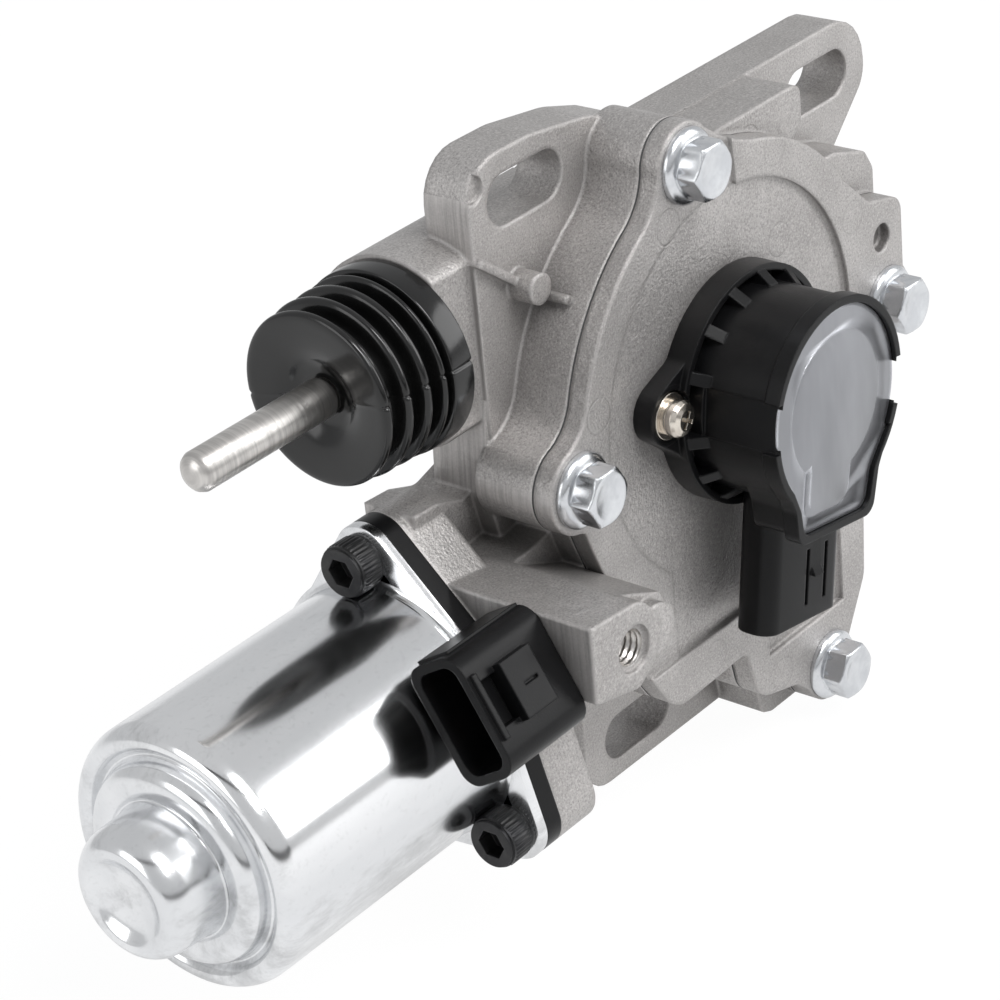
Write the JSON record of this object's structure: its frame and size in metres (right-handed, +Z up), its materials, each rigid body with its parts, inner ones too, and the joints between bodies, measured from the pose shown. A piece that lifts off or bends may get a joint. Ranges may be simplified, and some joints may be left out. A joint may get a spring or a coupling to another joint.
{
  "type": "motor driven clutch cylinder",
  "caption": "Clutch actuator: an electric motor turns a worm and sector gear in a cast housing, whose crank pushes a rod through a rubber boot, with a stroke sensor on the cover.",
  "frame": {"origin": "on the mounting face, straight above the axis of the sector gear", "axes": "+Y out of the mounting face into the vehicle, -Y towards the cover and sensor; -X the way the push rod points; +Z up, towards the two upper slots"},
  "size_m": [0.2194, 0.0789, 0.1434],
  "materials": {
    "cast_aluminium": "as cast, fine grain",
    "gasket_grey": "coated sheet",
    "zinc_steel": "zinc plated",
    "bright_zinc": "drawn steel, bright zinc",
    "black_plastic": "satin moulded",
    "black_steel": "black oxide",
    "ferrite": "sintered",
    "carbon": "pressed carbon",
    "spring_steel": "drawn",
    "copper_alloy": "bare copper",
    "bronze": "sintered bronze",
    "black_rubber": "moulded rubber",
    "bare_aluminium": "brushed sheet",
    "board_green": "lacquered",
    "nickel_steel": "nickel plated",
    "stainless": "ground",
    "gear_plastic": "natural polyamide",
    "core_steel": "stacked sheet"
  },
  "bodies": {
    "housing": {"gear_housing": "cast_aluminium", "gear_cover": "cast_aluminium", "cover_gasket": "gasket_grey", "cover_bolts": "zinc_steel", "locating_dowels": "stainless", "motor_can": "bright_zinc", "brush_card": "black_plastic", "motor_screws": "black_steel", "field_magnets": "ferrite", "carbon_brushes": "carbon", "brush_springs": "spring_steel", "power_terminals": "copper_alloy", "can_bearing": "bronze", "front_bearing": "bronze", "worm_end_bearing": "bronze", "thrust_pad": "stainless", "wheel_front_bush": "bronze", "wheel_rear_bush": "bronze", "shaft_seal": "black_rubber", "rod_guide_bush": "bronze", "rod_seal": "black_rubber", "rubber_boot": "black_rubber", "sensor_body": "black_plastic", "sensor_lid": "bare_aluminium", "sensor_board": "board_green", "sensor_terminals": "copper_alloy", "sensor_o_ring": "black_rubber", "sensor_screws": "nickel_steel", "sensor_spring_washers": "nickel_steel", "sensor_flat_washers": "nickel_steel"},
    "wheel": {"wheel_shaft": "stainless", "sector_gear": "gear_plastic", "crank_arm": "zinc_steel", "crank_pin": "stainless", "crank_roller": "stainless", "sensor_rotor": "black_plastic", "rotor_magnet": "ferrite"},
    "armature": {"motor_shaft": "stainless", "armature_core": "core_steel", "armature_windings": "copper_alloy", "commutator": "copper_alloy", "worm": "stainless"},
    "rod": {"push_rod": "stainless", "rod_yoke": "zinc_steel"}
  },
  "joints": [
    {"name": "motor_spin", "type": "hinge", "parent": "housing", "child": "armature", "pos_m": [0, -0.003, -0.08027], "axis": [1, 0, 0], "range_deg": [-1428, 714]},
    {"name": "wheel_turn", "type": "hinge", "parent": "housing", "child": "wheel", "pos_m": [0, -0.003, -0.042], "axis": [0, 1, 0], "range_deg": [-28.1, 14.1]},
    {"name": "rod_slide", "type": "slide", "parent": "housing", "child": "rod", "axis": [-1, 0, 0], "range_m": [-0.0061, 0.0121], "deforming": ["rubber_boot"]}
  ],
  "couplings": [
    {"joint": "wheel_turn", "follows": "motor_spin", "ratio": 0.019608},
    {"joint": "rod_slide", "follows": "motor_spin", "m_per_rad": -0.00048235}
  ]
}
